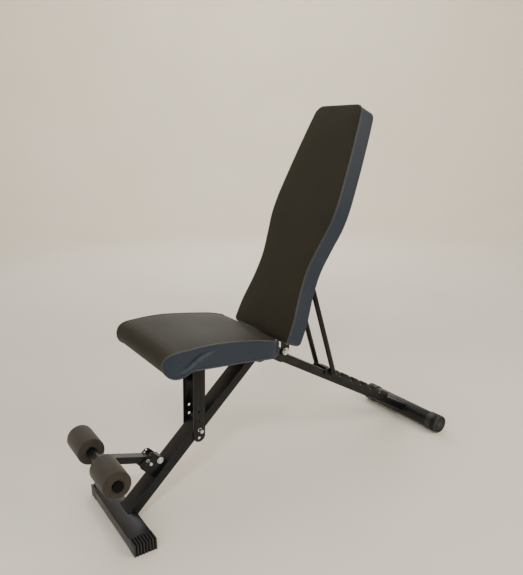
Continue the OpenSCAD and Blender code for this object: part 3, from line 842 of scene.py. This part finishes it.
# leather on one region of the shell and carbon vinyl on the others
def coverBy(piece, leatherRegion):
    region = [item.value for item in piece.data.attributes["region"].data]
    for polygon in piece.data.polygons:
        polygon.material_index = 0 if region[polygon.index] == leatherRegion else 1


def subdivide(piece):
    surface = piece.modifiers.new("soft", "SUBSURF")
    surface.levels = 1
    surface.render_levels = 1
    applyModifiers(piece)
    makeActive(piece)
    bpy.ops.object.shade_smooth()


# the faces of a row of rings of points, each ring holding the same count
def ringFaces(base, ringPairs, sides):
    faces = []
    for first, second in ringPairs:
        for k in range(sides):
            n = (k + 1) % sides
            faces.append((base + first * sides + k, base + first * sides + n,
                          base + second * sides + n, base + second * sides + k))
    return faces


# a closed cord through the points
def tubeAlong(name, points, radius, sides=8):
    count = len(points)
    vertices = []
    for i in range(count):
        way = (points[(i + 1) % count] - points[i - 1]).normalized()
        side = way.cross(Vector((0, 1, 0)))
        if side.length < 0.2:
            side = way.cross(Vector((1, 0, 0)))
        side.normalize()
        up = way.cross(side).normalized()
        for k in range(sides):
            turn = 2 * math.pi * k / sides
            vertices.append(points[i] + (side * math.cos(turn) + up * math.sin(turn)) * radius)
    piece = newPiece(name, vertices, ringFaces(0, [(i, (i + 1) % count) for i in range(count)], sides))
    turnOutward(piece)
    bpy.ops.object.shade_smooth()
    return piece


# a stitch is drawn in rings: (place along its length, lift in radii, size in radii)
stitchShape = {"pitch": 5.2 * mm, "length": 3.6 * mm, "radius": 0.55 * mm, "sides": 6,
               "rings": ((-0.5, -0.6, 0.4), (-0.28, 0.35, 1.0), (0.28, 0.35, 1.0), (0.5, -0.6, 0.4))}


# a row of lock stitches: short threads lying along the line, each dipping in at both ends
def stitchRow(name, points, normals, shape=stitchShape):
    vertices = []
    faces = []
    total = 0.0
    nextAt = shape["pitch"] / 2
    count = len(points)
    sides, radius = shape["sides"], shape["radius"]
    lastRing = len(shape["rings"]) - 1
    for i in range(count):
        a = points[i]
        b = points[(i + 1) % count]
        span = (b - a).length
        while nextAt <= total + span and span > 0:
            share = (nextAt - total) / span
            middle = a.lerp(b, share)
            out = normals[i].lerp(normals[(i + 1) % count], share).normalized()
            way = (b - a).normalized()
            side = way.cross(out).normalized()
            base = len(vertices)
            for along, lift, size in shape["rings"]:
                for k in range(sides):
                    turn = 2 * math.pi * k / sides
                    vertices.append(middle + way * along * shape["length"] + out * lift * radius
                                    + (side * math.cos(turn) + out * math.sin(turn)) * radius * size)
            faces += ringFaces(base, [(ring, ring + 1) for ring in range(lastRing)], sides)
            faces.append(tuple(base + k for k in reversed(range(sides))))
            faces.append(tuple(base + lastRing * sides + k for k in range(sides)))
            nextAt += shape["pitch"]
        total += span
    piece = newPiece(name, vertices, faces)
    turnOutward(piece)
    bpy.ops.object.shade_smooth()
    return piece


def rowPoints(piece, row):
    return [piece.data.vertices[i].co.copy() for i in row]


def rowNormals(piece, row):
    return [piece.data.vertices[i].normal.copy() for i in row]


boltAt = Vector(joints["backrest_recline"]["pos_m"])
footAt = boltAt + Vector((backShape["footFromBolt"][0], 0, backShape["footFromBolt"][1]))
backWay = leanOf(backShape["angle"], 1, 1)
backOut = Vector((-backWay.z, 0, backWay.x))


def placeBack(s, y, depth):
    return footAt + backWay * s + Vector((0, y, 0)) + backOut * depth


backLoop = evenLoop(backOutline(backShape, backShape["shrink"]), backShape["spacing"])
backFace = -backShape["pad"] - backShape["board"] - backShape["wrap"]
frontFace = backShape["front"]
backDepths = [backFace + (frontFace - backShape["bandDrop"] - backFace) * k / backShape["bandRows"]
              for k in range(backShape["bandRows"] + 1)]
backCushion, backInfo = stuffedShell(
    "backrestCushion", backLoop, [Vector(spot) for spot in backShape["spine"]], backDepths,
    backShape["panelRings"], placeBack, (backFace, frontFace))


def roundIn(distance, rise, depth):
    if distance >= rise:
        return 0.0
    return depth * (1 - math.sqrt(1 - (1 - max(distance, 0.0) / rise)**2))


# the vinyl wraps the board's edge and is stapled, so the middle of the back lies inside the board
hemPoints = backCushion.data.vertices
for row in backInfo["back"]:
    inward = [(hemPoints[a].co - hemPoints[b].co).length for a, b in zip(row, backInfo["band"][0])]
    if sum(inward) / len(inward) > backShape["hem"]:
        for index in row:
            hemPoints[index].co += backOut * backShape["recess"]
# the bottom edge rolls over in a half round
for vertex in backCushion.data.vertices:
    away = vertex.co - footAt
    depth = away.dot(backOut)
    rise = away.dot(backWay) - backShape["lip"] - backShape["shrink"]
    front = frontFace - roundIn(rise, *backShape["roll"])
    back = backFace + roundIn(rise, *backShape["backRoll"])
    share = (depth - backFace) / (frontFace - backFace)
    vertex.co += backOut * (back + (front - back) * share - depth)
# the front panel starts with a low crown, so it inflates outwards and not into wrinkles
for ring, row in enumerate(backInfo["front"]):
    rise = math.sin(math.pi / 2 * (ring + 1) / len(backInfo["front"]))
    for index in row:
        backCushion.data.vertices[index].co += backOut * backShape["crown"] * rise
# the seams give a little as the pad fills, the stapled side doesn't
seamHold = 0.85
holdBack = [(1.0, [i for row in backInfo["back"] for i in row] + backInfo["edges"][0]),
            (seamHold, backInfo["edges"][1])]
inflate(backCushion, holdBack, backShape["pressure"], backShape["cap"])
backSeam = rowPoints(backCushion, backInfo["edges"][1])
backStitch = rowPoints(backCushion, backInfo["band"][-2])
backStitchOut = rowNormals(backCushion, backInfo["band"][-2])
turnOutward(backCushion, seamMerge)
coverBy(backCushion, 2)
subdivide(backCushion)
standIn(backCushion, "backrestCushion", "backrest_pad", [leather, carbon])
pipingRadius = 1.9 * mm


def sewSeam(place, side, body, seam, points, normals):
    name = place + "Piping" + side
    finish(tubeAlong(name, seam, pipingRadius), name, body, piping)
    name = place + "Stitches" + side
    finish(stitchRow(name, points, normals), name, body, thread)


sewSeam("backrest", "", "backrest", backSeam, backStitch, backStitchOut)
print("backrest cushion made")

seatShape = {
    "tilt": 5.9, "rearFromBolt": (-22.5 * mm, 79 * mm), "flat": 46 * mm, "board": 8 * mm,
    "wrap": 1.2 * mm, "hem": 26 * mm, "overhang": 6 * mm, "crown": 5.5 * mm, "crownFade": 20 * mm,
    "recess": 3.2 * mm, "boardLength": 250 * mm, "spacing": 6 * mm, "bandRows": 48,
    "panelRings": 11, "pressure": 3.0, "cap": 6 * mm,
    "hemFrom": 6 * mm, "boardFrom": 4 * mm,   # below the flat top's depth
    "spine": ((24 * mm, 23 * mm), (306 * mm, 37 * mm)),
    # side view in mm: distance from the rear edge, drop from the top
    "rearCorner": ((0, 23), (0, 16), (1, 11.5), (4, 9.4), (11, 8.3)),
    "arch": ((5, 7), (40, 0.5), (80, -3.4), (112, -5.8), (145, -7), (190, -7.8), (215, -7),
             (240, -5), (270, -1.4)),
    "archRun": (14, 266, 28), "topInset": 2 * mm,
    "nose": ((280, 2), (293, 3.6), (304, 5.5), (314, 8), (322, 11.4), (328.5, 16), (333, 22),
             (335.5, 29.5), (335.8, 38), (333.5, 47), (329, 55), (322.5, 62), (314, 67.5), (304, 71),
             (294, 71.6), (284, 70), (274, 66), (265.5, 61)),
    # under the board: distance from the rear edge, rise above the underside
    "underside": ((262, -1), (252, 0), (66, 0), (18, 0.4), (6, 3.5), (1.5, 7), (0, 12)),
    "halfWidths": ((0, 146), (14, 153), (100, 150), (200, 155), (290, 156), (320, 154), (338, 147),
                   (343, 141)),
}
seatRear = foldAt + Vector((seatShape["rearFromBolt"][0], 0, seatShape["rearFromBolt"][1]))
seatWay = leanOf(seatShape["tilt"], -1, 1)
seatDown = Vector((-seatWay.z, 0, seatWay.x))


def seatOutline(shape):
    under = shape["flat"] + shape["board"] + shape["wrap"]
    rear = -shape["overhang"]
    first, last, count = shape["archRun"]
    top = [first + (last - first) * step / (count - 1) for step in range(count)]
    return ([(rear + s * mm, t * mm) for s, t in shape["rearCorner"]]
            + [(s * mm, throughStations(shape["arch"], s) * mm + shape["topInset"]) for s in top]
            + [(s * mm, t * mm) for s, t in shape["nose"]]
            + [(rear + s * mm, under - t * mm) for s, t in shape["underside"]])


def seatHalf(s):
    return throughStations(seatShape["halfWidths"], s / mm) * mm


def placeSeat(s, t, share):
    return seatRear + seatWay * s + seatDown * t + Vector((0, share * seatHalf(s), 0))


seatLoop = evenLoop(seatOutline(seatShape), seatShape["spacing"])
rows = seatShape["bandRows"]
seatShares = [-1 + 2 * k / rows for k in range(rows + 1)]
seatCushion, seatInfo = stuffedShell(
    "seatCushion", seatLoop, [Vector(spot) for spot in seatShape["spine"]], seatShares,
    seatShape["panelRings"], placeSeat, (-1.0, 1.0))


def onSeat(vertex):
    away = vertex.co - seatRear
    return away.dot(seatWay), away.dot(seatDown)


# the top is crowned across, and the middle of the underside lies inside the board
for row, share in zip(seatInfo["band"], seatShares):
    for index in row:
        vertex = seatCushion.data.vertices[index]
        s, t = onSeat(vertex)
        if t < seatShape["crownFade"]:
            fade = min(1 - t / seatShape["crownFade"], 1)
            vertex.co -= seatDown * seatShape["crown"] * (1 - share**4) * fade
        hemSide = seatHalf(s) * (1 - abs(share))
        inside = seatShape["hem"] < s < seatShape["boardLength"] - 0.8 * seatShape["hem"]
        if t > seatShape["flat"] + seatShape["hemFrom"] and inside and hemSide > seatShape["hem"]:
            vertex.co -= seatDown * seatShape["recess"]


def liesOnBoard(index):
    s, t = onSeat(seatCushion.data.vertices[index])
    return t > seatShape["flat"] + seatShape["boardFrom"] and s < seatShape["boardLength"]


flatUnder = [i for row in seatInfo["band"] for i in row if liesOnBoard(i)]
holdSeat = [(seamHold, seatInfo["edges"][0] + seatInfo["edges"][1]), (1.0, flatUnder)]
inflate(seatCushion, holdSeat, seatShape["pressure"], seatShape["cap"])

# creases where the side vinyl is pulled round the nose, each beside a low fold. A row gives the
# centre, lean, length and depth; widths are of the crease and of the fold 8 mm beside it, in mm
creaseShape = {
    "creaseWidth": 4.2, "foldWidth": 5.5, "foldBeside": 8, "foldShare": 0.7,
    "near": ((236, 22, -30, 26, 4.4), (254, 37, -36, 24, 5.0), (282, 50, -24, 16, 3.2),
             (208, 12, -20, 22, 2.8)),
    "far": ((228, 24, -26, 26, 3.4), (262, 38, -35, 26, 4.4)),
}


def creasePush(s, t, rows, shape=creaseShape):
    push = 0.0
    for centreS, centreT, lean, length, depth in rows:
        turn = math.radians(lean)
        along = (s - centreS) * math.cos(turn) - (t - centreT) * math.sin(turn)
        off = (s - centreS) * math.sin(turn) + (t - centreT) * math.cos(turn)
        fold = shape["foldShare"] * math.exp(-((off - shape["foldBeside"]) / shape["foldWidth"])**2)
        crease = math.exp(-(off / shape["creaseWidth"])**2)
        push += depth * math.exp(-(along / length)**2) * (fold - crease)
    return push


for side, panel, label in ((-1, seatInfo["back"], "near"), (1, seatInfo["front"], "far")):
    for row in panel:
        for index in row:
            vertex = seatCushion.data.vertices[index]
            s, t = onSeat(vertex)
            vertex.co.y += side * creasePush(s / mm, t / mm, creaseShape[label]) * mm
seatCushion.data.update()
seatSeams = [rowPoints(seatCushion, row) for row in seatInfo["edges"]]
seatStitchRows = [(rowPoints(seatCushion, row), rowNormals(seatCushion, row))
                  for row in (seatInfo["back"][-2], seatInfo["front"][1])]
turnOutward(seatCushion, seamMerge)
coverBy(seatCushion, 1)
subdivide(seatCushion)
standIn(seatCushion, "seatCushion", "seat_pad", [leather, carbon])
for label, seam, (points, normals) in zip(("Near", "Far"), seatSeams, seatStitchRows):
    sewSeam("seat", label, "seat", seam, points, normals)
print("seat cushion made")

# foam rollers: skived sleeves with a rolled rim at each end

rollerShape = {"rim": 5 * mm, "bore": 12.9 * mm, "sides": 96, "rimSegments": 5}


def foamRoller(node, name):
    low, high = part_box(node)
    radius = (high.z - low.z) / 2
    piece = crossCylinder(rollerShape["sides"], radius, low.y, high.y, (low + high) / 2)
    openMesh(piece)
    bpy.ops.mesh.select_mode(type="FACE")
    for end in (low.y, high.y):
        selectFaces(piece, lambda at, out: abs(at.y - end) < touching)
        bpy.ops.mesh.inset(thickness=radius - rollerShape["bore"])
        bpy.ops.mesh.delete(type="FACE")
    # the two open bores are joined by the inner wall
    selectEdges(piece, lambda edge: edge.is_boundary)
    bpy.ops.mesh.bridge_edge_loops()
    closeMesh()
    turnOutward(piece)
    bevelEdges(piece, rollerShape["rim"], rollerShape["rimSegments"], 60)
    smoothByAngle(piece, 50)
    standIn(piece, name, node)
    return piece


foamRoller("roller_near", "foamRollerNear")
foamRoller("roller_far", "foamRollerFar")
print("foam rollers made")

# hexagon bolts and nuts across the bench: chamfered head, washer, shank and threaded end

# each bolt: its node, then in mm its shank radius, head radius (to a corner) and head height
fastenerShape = {
    "washer": 1.4 * mm, "washerSpread": 1.18, "chamfer": 1.1 * mm, "tip": 0.7 * mm, "edge": 0.3 * mm,
    "threadPitch": 1.5 * mm, "threadHalf": 0.35 * mm, "threadRise": 1.06, "threadEdge": 0.2 * mm,
    "bolts": {"fold": ("fold", 6, 10, 7), "recline": ("back", 6, 9.5, 6), "arm": ("arm", 5, 8, 5),
              "post": ("post", 5, 8.5, 5.5), "prop": ("prop", 5, 8.5, 5.5)},
}


def roundBar(radius, y0, y1, at, sides, edge, segments=2):
    piece = crossCylinder(sides, radius, y0, y1, at)
    bevelEdges(piece, edge, segments, 25)
    return piece


def joinPieces(pieces):
    deselectAll()
    for piece in pieces:
        piece.select_set(True)
    bpy.context.view_layer.objects.active = pieces[0]
    bpy.ops.object.join()
    smoothByAngle(pieces[0], 28)
    return pieces[0]


def hexBolt(name, node, *sizes, shape=fastenerShape):
    radius, headRadius, headHeight = (size * mm for size in sizes)
    boltNode, nutNode = node + "_bolt", node + "_nut"
    low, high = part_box(boltNode)
    nutLow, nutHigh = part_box(nutNode)
    at = (nutLow + nutHigh) / 2
    seatY = low.y + headHeight
    washer, spread = shape["washer"], headRadius * shape["washerSpread"]
    head = roundBar(headRadius, low.y, seatY, at, 6, shape["chamfer"], 3)
    collar = roundBar(spread, seatY - washer * 0.9, seatY, at, 48, shape["edge"])
    shank = roundBar(radius, seatY, high.y, at, 32, shape["tip"])
    rings = []
    for k in range(int((high.y - nutHigh.y) / shape["threadPitch"])):
        y = nutHigh.y + (k + 0.5) * shape["threadPitch"]
        rings.append(roundBar(radius * shape["threadRise"], y - shape["threadHalf"],
                                y + shape["threadHalf"], at, 32, shape["threadEdge"]))
    bolt = joinPieces([head, collar, shank] + rings)
    standIn(bolt, name + "Bolt", boltNode)
    nut = roundBar(headRadius, nutLow.y + washer, nutHigh.y, at, 6, shape["chamfer"], 3)
    foot = roundBar(spread, nutLow.y, nutLow.y + washer, at, 48, shape["edge"])
    standIn(joinPieces([nut, foot]), name + "Nut", nutNode)


for name, settings in fastenerShape["bolts"].items():
    hexBolt(name, *settings)
print("bolts made")

# stage, light and camera

studioShape = {"floorRadius": 4.2, "sweep": 1.6, "height": 4.4, "sides": 96, "steps": 12}

# a round studio: the wall's top ring is drawn down and in to a flat floor
deselectAll()
bpy.ops.mesh.primitive_circle_add(vertices=studioShape["sides"], fill_type="NOTHING",
                                  radius=studioShape["floorRadius"] + studioShape["sweep"],
                                  location=(0, 0, studioShape["height"]))
studio = bpy.context.object
applyPlace(studio)
openMesh(studio)
bpy.ops.mesh.extrude_region_move(
    TRANSFORM_OT_translate={"value": (0, 0, studioShape["sweep"] - studioShape["height"])})
ringRadius = studioShape["floorRadius"] + studioShape["sweep"]
ringHeight = studioShape["sweep"]
for step in range(1, studioShape["steps"] + 1):
    turn = math.pi / 2 * step / studioShape["steps"]
    nextRadius = studioShape["floorRadius"] + studioShape["sweep"] * math.cos(turn)
    nextHeight = studioShape["sweep"] * (1 - math.sin(turn))
    bpy.ops.mesh.extrude_region_move(TRANSFORM_OT_translate={"value": (0, 0, nextHeight - ringHeight)})
    bpy.ops.transform.resize(value=(nextRadius / ringRadius, nextRadius / ringRadius, 1))
    ringRadius, ringHeight = nextRadius, nextHeight
bpy.ops.mesh.edge_face_add()
closeMesh()
studio.name = "studio"
makeActive(studio)
bpy.ops.object.shade_smooth()
studio.data.materials.append(paintedPlaster())

world = bpy.context.scene.world or bpy.data.worlds.new("room")
bpy.context.scene.world = world
world.use_nodes = True
worldTree = world.node_tree
worldTree.nodes.clear()
sky = addNode(worldTree, "ShaderNodeBackground", {"Color": hexColour("#e9e4db"), "Strength": 0.85})
addNode(worldTree, "ShaderNodeOutputWorld", {"Surface": sky.outputs[0]})


def softLight(name, place, size, power, colour, aim):
    light = bpy.data.lights.new(name, "AREA")
    light.shape = "RECTANGLE"
    light.size = size[0]
    light.size_y = size[1]
    light.energy = power
    light.color = hexColour(colour)[:3]
    lamp = bpy.data.objects.new(name, light)
    bpy.context.scene.collection.objects.link(lamp)
    lamp.location = place
    lamp.rotation_euler = (Vector(aim) - Vector(place)).to_track_quat("-Z", "Y").to_euler()


# place, size, power, colour and the point each light is aimed at
centreOfBench = (0, 0, 0.45)
lightShape = {
    "window": ((1.6, -2.7, 2.2), (1.6, 1.4), 58, "#fff1de", centreOfBench),
    "fill": ((-3.0, -1.6, 1.5), (2.0, 1.6), 28, "#e3ecff", centreOfBench),
    "overhead": ((-0.2, 0.9, 3.4), (2.6, 2.0), 20, "#fff3e2", centreOfBench),
    "key": ((-1.5, -1.9, 2.35), (0.35, 0.35), 26, "#fffaf2", centreOfBench),
    "behind": ((1.6, 2.8, 2.2), (1.8, 1.4), 26, "#eef3ff", centreOfBench),
    "wallWash": ((1.7, 2.5, 3.0), (2.6, 1.2), 80, "#fff3e2", (3.3, 4.9, 1.2)),
}
for name, settings in lightShape.items():
    softLight(name, *settings)

cameraShape = {"place": (-0.96277, -1.39431, 1.02297), "turn": -33.41, "down": 14.94, "roll": -0.92,
               "focal": 600.5, "frameHeight": 575, "sensor": 36}
turn, down, roll = (math.radians(cameraShape[key]) for key in ("turn", "down", "roll"))
ahead = Vector((-math.sin(turn) * math.cos(down), math.cos(turn) * math.cos(down), -math.sin(down)))
level = Vector((math.cos(turn), math.sin(turn), 0))
above = level.cross(ahead)
right = level * math.cos(roll) + above * math.sin(roll)
upward = above * math.cos(roll) - level * math.sin(roll)
lens = bpy.data.cameras.new("camera")
lens.sensor_fit = "VERTICAL"
lens.sensor_height = cameraShape["sensor"]
lens.lens = cameraShape["sensor"] * cameraShape["focal"] / cameraShape["frameHeight"]
lens.clip_end = 100
camera = bpy.data.objects.new("camera", lens)
bpy.context.scene.collection.objects.link(camera)
camera.matrix_world = Matrix.Translation(cameraShape["place"]) @ Matrix(
    (right, upward, -ahead)).transposed().to_4x4()
bpy.context.scene.camera = camera
